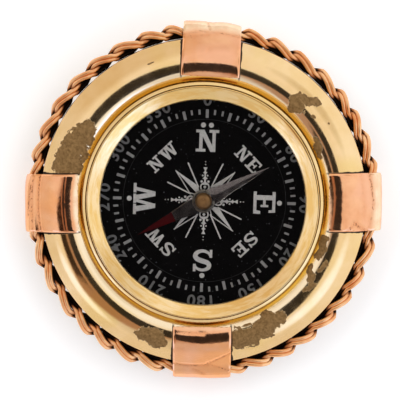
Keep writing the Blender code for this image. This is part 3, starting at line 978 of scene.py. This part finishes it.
def numeral_mesh():
    """The degree numerals, bent along the dial's edge with their tops outward."""
    shape = bmesh.new()
    for value in range(0, 360, 30):
        text = bpy.data.curves.new("numeral", "FONT")
        text.body = str(value)
        text.size = NUMERAL_SIZE
        text.align_x = "CENTER"
        text.offset = 0.08
        text.space_character = 1.16
        text.resolution_u = 4
        holder = placed("numeral", text)
        bpy.context.view_layer.update()
        graph = bpy.context.evaluated_depsgraph_get()
        flat = bpy.data.meshes.new_from_object(holder.evaluated_get(graph))
        for vertex in flat.vertices:
            reach = NUMERAL_FOOT + vertex.co.y
            turn = radians(value) + NUMERAL_BEND * vertex.co.x
            vertex.co = Vector((reach * sin(turn) + PRINT_SHIFT, reach * cos(turn), PRINT_TOP)) * MM
        shape.from_mesh(flat)
        bpy.data.objects.remove(holder, do_unlink=True)
    mesh = bpy.data.meshes.new("dial_numerals")
    written_upward(mesh, shape)
    mesh.materials.clear()
    return mesh


finished("dial_numerals", numeral_mesh(), numeral_ink, "case")


# -------------------- needle

def needle_mesh():
    """The blade along its own X axis, with a half width at each station.

    One arm is a low roof, the other nearly flat with a rolled edge.
    """
    stations = [(-NEEDLE_HALF_LENGTH, 0.0), (-14.5, 0.28), (-12.0, 0.62), (-9.5, 0.90), (-7.6, 1.10),
                (-7.4, 1.12), (-5.5, 1.36), (-4.0, 1.62), (-3.0, 1.90)]
    stations += [(-x, w) for x, w in stations[::-1]]
    free_arm = ((-1.0, 0.0), (-0.5, 0.55), (0.0, 1.0), (0.86, 0.34), (1.0, -0.2))
    red_arm = ((-1.0, -0.3), (-0.86, 0.3), (0.0, 0.45), (0.5, 0.28), (1.0, 0.1))
    points, red, edge = [], [], []
    for x, width in stations:
        width = max(width, 0.02)
        arm = free_arm if x < 0 else red_arm
        section = [(a * width, BLADE_HEIGHT + BLADE_ROOF * width * h) for a, h in arm]
        section += [(width, BLADE_UNDERSIDE), (-width, BLADE_UNDERSIDE)]
        points += [(x, y, z) for y, z in section]
        red += [1.0 if x > RED_FROM else 0.0] * len(section)
        # Painted highlight: one long edge of the free arm is made bright.
        edge += [1.0 if x < 0 and k == 4 else 0.0 for k in range(len(section))]
    columns = len(free_arm) + 2
    faces = grid_faces(len(stations), columns, wrap_columns=True)
    last = (len(stations) - 1) * columns
    faces += [tuple(range(columns)), tuple(last + k for k in range(columns))]
    return points, faces, red, edge


points, faces, red, edge = needle_mesh()
mesh = mesh_of("blade", np.array(points) @ upright_turn(90 - NEEDLE_BEARING).T, faces)
store(mesh, "red", red)
store(mesh, "edge", edge)
finished("blade", mesh, blade_steel, "needle", ("needle_blade",), sharp=12.0)

hub_profile = [(1.5, 8.8), (1.5, 9.19), (2.3, 9.18), (2.5, 9.14), (2.6, 9.04), (2.6, 8.8)]
turned("blade_hub", hub_profile, hub_steel, "needle", None, 64, closed=True)

cap_profile = [(0.25, 10.38), (0.4, 10.46), (0.9, 10.42), (1.3, 10.28), (1.55, 10.05), (1.76, 9.75)]
cap_profile += [(1.87, 9.4), (1.89, 9.25), (1.3, 9.25), (1.3, 8.62), (0.95, 8.62), (0.95, 10.1)]
cap_profile += [(0.3, 10.1)]
turned("cap", cap_profile, cap_brass, "needle", "needle_cap", 64)


# -------------------- floor, light, camera

def flat_disc(name, radius, height, sides=96):
    mesh = bpy.data.meshes.new(name)
    rim = circle_points((0, 0), radius, sides)
    mesh.from_pydata([(x, y, height) for x, y in rim], [], [tuple(range(sides))])
    thing = placed(name, mesh)
    return thing


floor = flat_disc("floor", 3.0, -0.0001)
floor_white = plain_material("floor_white", (0.80, 0.80, 0.80), (0.78, 0.78, 0.78), 3.0, 0.9)
glow = Nodes(floor_white.node_tree)
glow.look(Emission_Color=(1.0, 1.0, 1.0, 1.0), Emission_Strength=0.36, Specular_IOR_Level=0.0)
floor.data.materials.append(floor_white)


def studio_world():
    """A white tent with a dark lens hood overhead, longer north-west to south-east, and a brown fold."""
    world = bpy.data.worlds.new("studio")
    world.use_nodes = True
    n = Nodes(world.node_tree)
    background = world.node_tree.nodes["Background"]
    way = n.add("ShaderNodeSeparateXYZ", Vector=n.add("ShaderNodeTexCoord").outputs["Generated"])
    east, north, up = way.outputs["X"], way.outputs["Y"], way.outputs["Z"]

    def towards(bearing):
        """How far a direction leans towards a bearing, as the sine of the angle."""
        turn = radians(bearing)
        return n.plus(n.times(east, sin(turn)), n.times(north, cos(turn)))

    def near(bearing, fall, inner, outer):
        """1 within so many degrees of a direction, fading out beyond. The fall is from straight up."""
        along = n.times(towards(bearing), sin(radians(fall)))
        dot = n.plus(along, n.times(up, cos(radians(fall))))
        return n.spread(dot, cos(radians(outer)), cos(radians(inner)))

    colour = n.mix(n.spread(up, 0.0, 0.55), (0.84, 0.80, 0.75), (0.98, 0.955, 0.93))
    colour = n.mix(n.spread(towards(70.0), 0.25, 0.85), colour, (1.06, 1.08, 1.10))
    for shade, bearing, fall, inner, outer in (
            ((0.74, 0.715, 0.70), 186.0, 48.0, 10.0, 34.0), ((0.80, 0.70, 0.58), 322.0, 68.0, 14.0, 36.0),
            ((0.80, 0.76, 0.68), 50.0, 50.0, 7.0, 20.0), ((1.18, 1.42, 1.95), 131.0, 56.0, 9.0, 23.0),
            ((1.25, 1.45, 2.05), 231.0, 71.0, 8.0, 18.0)):
        colour = n.mix(near(bearing, fall, inner, outer), colour, shade)
    fold = n.times(n.spread(towards(230.0), 0.16, 0.24), n.spread(towards(190.0), 0.72, 0.62))
    fold = n.times(fold, n.spread(towards(262.0), 0.74, 0.66))
    fold = n.times(fold, n.spread(n.maths("ABSOLUTE", towards(140.0)), 0.42, 0.24))
    colour = n.mix(n.times(fold, n.spread(up, 0.2, 0.4)), colour, (0.44, 0.27, 0.19))
    gap = n.times(n.spread(towards(249.0), 0.39, 0.43), n.spread(towards(249.0), 0.71, 0.68))
    gap = n.times(gap, n.spread(n.maths("ABSOLUTE", towards(336.0)), 0.17, 0.14))
    colour = n.mix(n.times(gap, n.spread(up, 0.3, 0.5)), colour, (0.04, 0.026, 0.018))
    # The hood is an ellipse about a point just south-east of straight up.
    long_way = n.maths("DIVIDE", n.plus(towards(325.0), 0.11), 0.41)
    short_way = n.maths("DIVIDE", n.plus(towards(235.0), -0.08), 0.215)
    square = n.plus(n.maths("POWER", long_way, 2.0), n.maths("POWER", short_way, 2.0))
    reach = n.maths("SQRT", square)
    hood = n.times(n.spread(reach, 1.05, 0.95), n.spread(up, 0.3, 0.4))
    colour = n.mix(hood, colour, (0.037, 0.034, 0.034))
    seen = n.add("ShaderNodeLightPath").outputs["Is Camera Ray"]
    n.fill(background, {"Color": n.mix(seen, colour, (1.0, 1.0, 1.0)), "Strength": 1.0})
    bpy.context.scene.world = world


studio_world()


def soft_box(name, bearing, elevation, distance, size, power):
    """A lamp that lights the object and is not mirrored in it."""
    light = bpy.data.lights.new(name, "AREA")
    light.shape = "RECTANGLE"
    light.size = size[0]
    light.size_y = size[1]
    light.energy = power
    lamp = placed(name, light)
    flat, rise = distance * cos(radians(elevation)), distance * sin(radians(elevation))
    lamp.location = (flat * sin(radians(bearing)), flat * cos(radians(bearing)), rise)
    lamp.rotation_euler = Vector(lamp.location).to_track_quat("Z", "Y").to_euler()
    lamp.visible_glossy = False


soft_box("soft_box_right", 48.0, 50.0, 0.9, (0.42, 0.34), 0.9)
soft_box("soft_box_left", 307.0, 50.0, 0.9, (0.42, 0.34), 0.9)

CAMERA_DISTANCE = 600.0
VIEW_WIDTH = 89.2
camera_data = bpy.data.cameras.new("camera")
camera_data.sensor_width = 36.0
camera_data.lens = 36.0 * CAMERA_DISTANCE / VIEW_WIDTH
camera = placed("camera", camera_data)
lean = radians(3.5)
aim = Vector((-0.78, 0.14, 8.0)) * MM
offset = Vector((0.0, sin(lean), cos(lean))) * CAMERA_DISTANCE * MM
camera.location = aim + offset
look = Matrix(((1, 0, 0), (0, cos(lean), sin(lean)), (0, -sin(lean), cos(lean))))
roll = Matrix.Rotation(radians(1.9), 3, "Z")
camera.rotation_euler = (look @ roll).to_euler()
bpy.context.scene.camera = camera
bpy.context.scene.view_settings.view_transform = "Standard"
